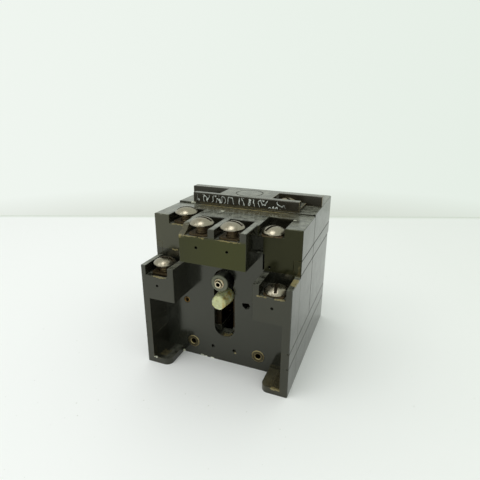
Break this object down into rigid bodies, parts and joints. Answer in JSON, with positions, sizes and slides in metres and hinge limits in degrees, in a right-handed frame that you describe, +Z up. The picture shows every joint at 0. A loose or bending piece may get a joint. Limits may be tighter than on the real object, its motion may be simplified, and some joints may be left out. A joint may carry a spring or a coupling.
{
  "type": "multi-pole blade switch block",
  "caption": "Enclosed multi-pole blade switch block with stacked moulded housings, screw terminals, front keyhole plate and a spring-returned sliding carriage.",
  "frame": {"origin": "centre of the underside, on the surface that the block stands on", "axes": "+X to the right seen from the front, +Y from the front plate to the back, +Z up"},
  "size_m": [0.064, 0.0704, 0.0705],
  "materials": {
    "phenolic_case": "dark olive-brown moulded phenolic, semi-gloss, worn edges",
    "phenolic_plate": "dark grey-brown moulded phenolic sheet, glossy",
    "phenolic_bridge": "dark brown-black moulded phenolic",
    "phenolic_carriage": "black moulded phenolic, satin",
    "brass": "dull oxidised brass",
    "copper": "dull silver-tarnished copper alloy",
    "screw_nickel": "nickel-plated steel, handled and slightly tarnished",
    "screw_brass": "tarnished plated brass",
    "screw_steel": "oiled steel",
    "clamp_steel": "plated steel with brown rust",
    "eyelet_metal": "worn nickel-brass",
    "nylon_tip": "aged cream nylon, satin",
    "spring_steel": "bright spring wire"
  },
  "bodies": {
    "housing": {"aux_clamp_plates": "clamp_steel", "aux_jaw_left": "copper", "aux_jaw_right": "copper", "aux_strap_left": "brass", "aux_strap_right": "brass", "aux_terminal_screws": "screw_nickel", "base": "phenolic_case", "bridge_screw": "screw_brass", "front_plate": "phenolic_plate", "jaw_rivets": "brass", "line_clamp_plates": "clamp_steel", "line_jaw_1": "copper", "line_jaw_2": "copper", "line_jaw_3": "copper", "line_jaw_4": "copper", "line_strap_1": "brass", "line_strap_2": "brass", "line_strap_3": "brass", "line_strap_4": "brass", "line_terminal_screws": "screw_nickel", "load_clamp_plates": "clamp_steel", "load_jaw_1": "copper", "load_jaw_2": "copper", "load_jaw_3": "copper", "load_jaw_4": "copper", "load_strap_1": "brass", "load_strap_2": "brass", "load_strap_3": "brass", "load_strap_4": "brass", "load_terminal_screws": "screw_nickel", "lower_frame": "phenolic_case", "lower_housing_front": "phenolic_case", "lower_housing_rear": "phenolic_case", "plate_inserts": "brass", "return_spring_left": "spring_steel", "return_spring_right": "spring_steel", "small_inserts": "brass", "stack_screws": "screw_steel", "top_bridge": "phenolic_bridge", "top_housing_front": "phenolic_case", "top_housing_rear": "phenolic_case", "upper_frame_front": "phenolic_case", "upper_frame_rear": "phenolic_case"},
    "carriage": {"crossbar": "phenolic_carriage", "drive_arm": "phenolic_carriage", "blade_rod": "screw_steel", "drive_eyelet": "eyelet_metal", "drive_tip": "nylon_tip", "aux_blade": "copper", "blade_1": "copper", "blade_2": "copper", "blade_3": "copper", "blade_4": "copper"}
  },
  "joints": [
    {"name": "drive_slide", "type": "slide", "parent": "housing", "child": "carriage", "axis": [0, 0, -1], "range_m": [0, 0.015], "stiffness_N_per_m": 160, "springref_m": -0.012, "deforming": ["return_spring_left", "return_spring_right"]}
  ]
}
